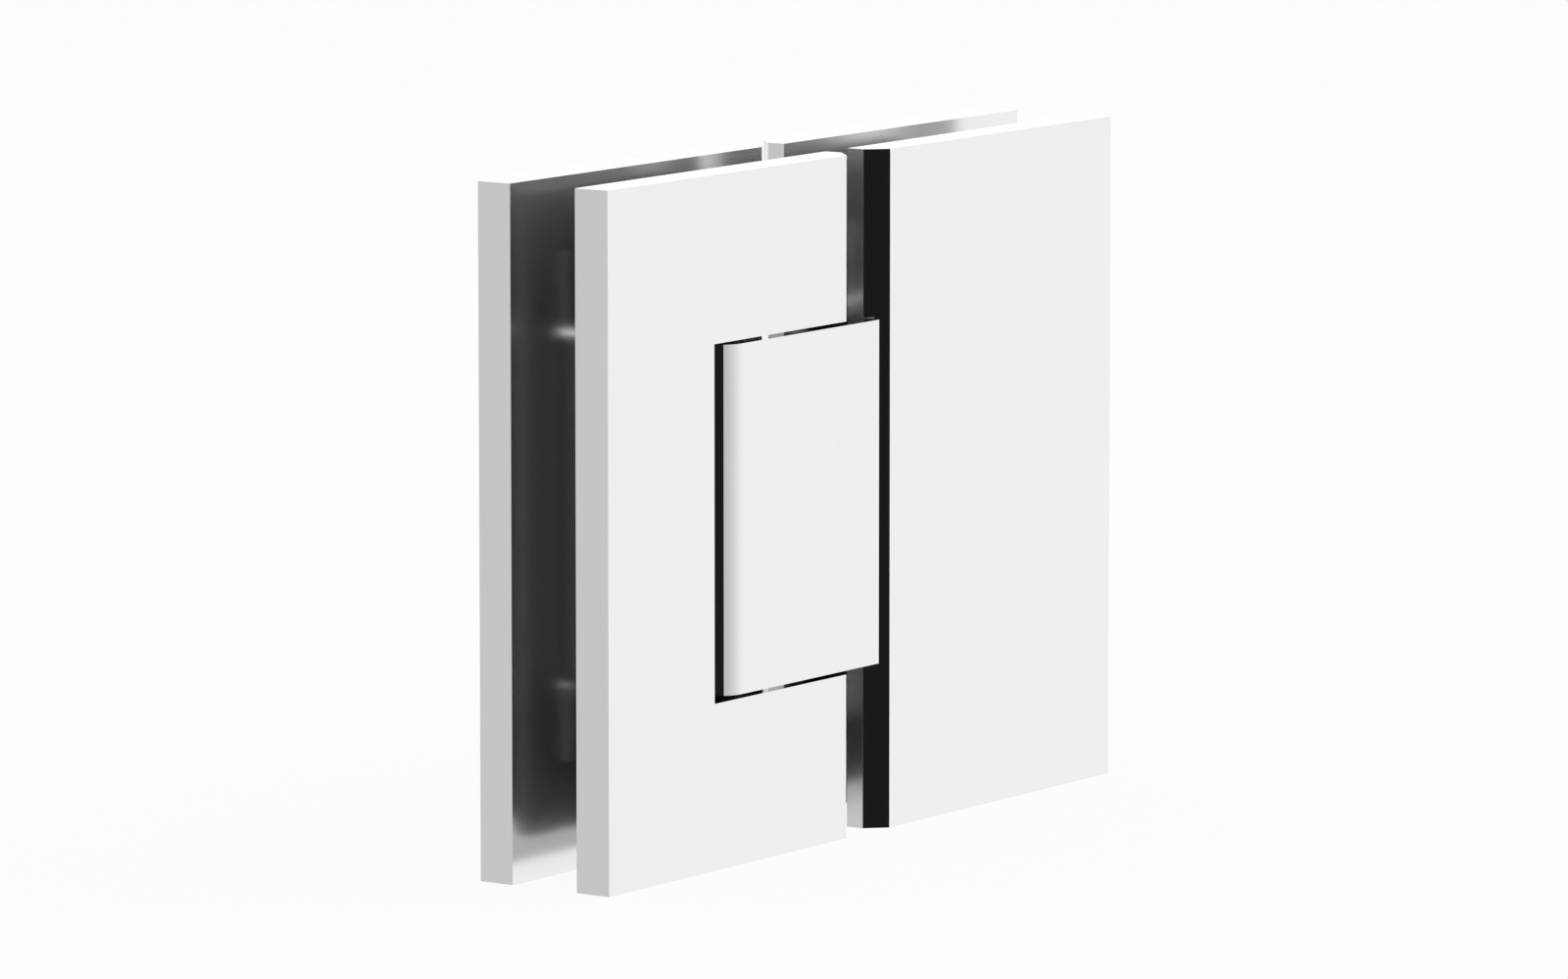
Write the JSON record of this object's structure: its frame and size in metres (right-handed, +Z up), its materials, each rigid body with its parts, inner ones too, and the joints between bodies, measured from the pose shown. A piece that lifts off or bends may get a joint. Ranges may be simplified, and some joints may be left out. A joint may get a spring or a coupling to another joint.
{
  "type": "glass door hinge",
  "caption": "Polished chrome hinge that clamps a glass door in line with a fixed glass panel, opens both ways and centres itself by sprung plungers that press on flats of its pivot pin.",
  "frame": {"origin": "middle of the hinge's footprint, at the lower ends of its plates", "axes": "+X from the door leaf to the fixed leaf, +Y from the plain front to the back with the screws, +Z up along the pivot pin"},
  "size_m": [0.115, 0.02, 0.089],
  "materials": {
    "polished_plate": "mirror polished plating on solid brass",
    "steel": "turned and ground stainless steel",
    "bearing_plastic": "black acetal, machined",
    "spring_steel": "drawn spring wire",
    "screw_steel": "plain stainless steel",
    "gasket": "matt grey sheet rubber"
  },
  "bodies": {
    "fixed_leaf": {"fixed_front_plate": "polished_plate", "fixed_back_plate": "polished_plate", "pivot_block": "polished_plate", "upper_bush": "bearing_plastic", "lower_bush": "bearing_plastic", "upper_washer": "bearing_plastic", "lower_washer": "bearing_plastic", "upper_spring": "spring_steel", "lower_spring": "spring_steel", "upper_spring_screw": "screw_steel", "lower_spring_screw": "screw_steel", "fixed_upper_screw": "screw_steel", "fixed_lower_screw": "screw_steel", "fixed_front_gasket": "gasket", "fixed_back_gasket": "gasket"},
    "door_leaf": {"door_front_plate": "polished_plate", "door_back_plate": "polished_plate", "pivot_pin": "steel", "upper_dowel": "steel", "lower_dowel": "steel", "door_upper_screw": "screw_steel", "door_lower_screw": "screw_steel", "door_front_gasket": "gasket", "door_back_gasket": "gasket"},
    "upper_plunger_body": {"upper_plunger": "steel"},
    "lower_plunger_body": {"lower_plunger": "steel"}
  },
  "joints": [
    {"name": "door_swing", "type": "hinge", "parent": "fixed_leaf", "child": "door_leaf", "pos_m": [-0.0195, 0, 0.0445], "axis": [0, 0, 1], "range_deg": [-90, 90]},
    {"name": "upper_plunger_slide", "type": "slide", "parent": "fixed_leaf", "child": "upper_plunger_body", "axis": [1, 0, 0], "range_m": [-0.0003, 0], "stiffness_N_per_m": 8000, "springref_m": -0.002, "deforming": ["upper_spring"]},
    {"name": "lower_plunger_slide", "type": "slide", "parent": "fixed_leaf", "child": "lower_plunger_body", "axis": [1, 0, 0], "range_m": [-0.0003, 0], "stiffness_N_per_m": 8000, "springref_m": -0.002, "deforming": ["lower_spring"]}
  ]
}
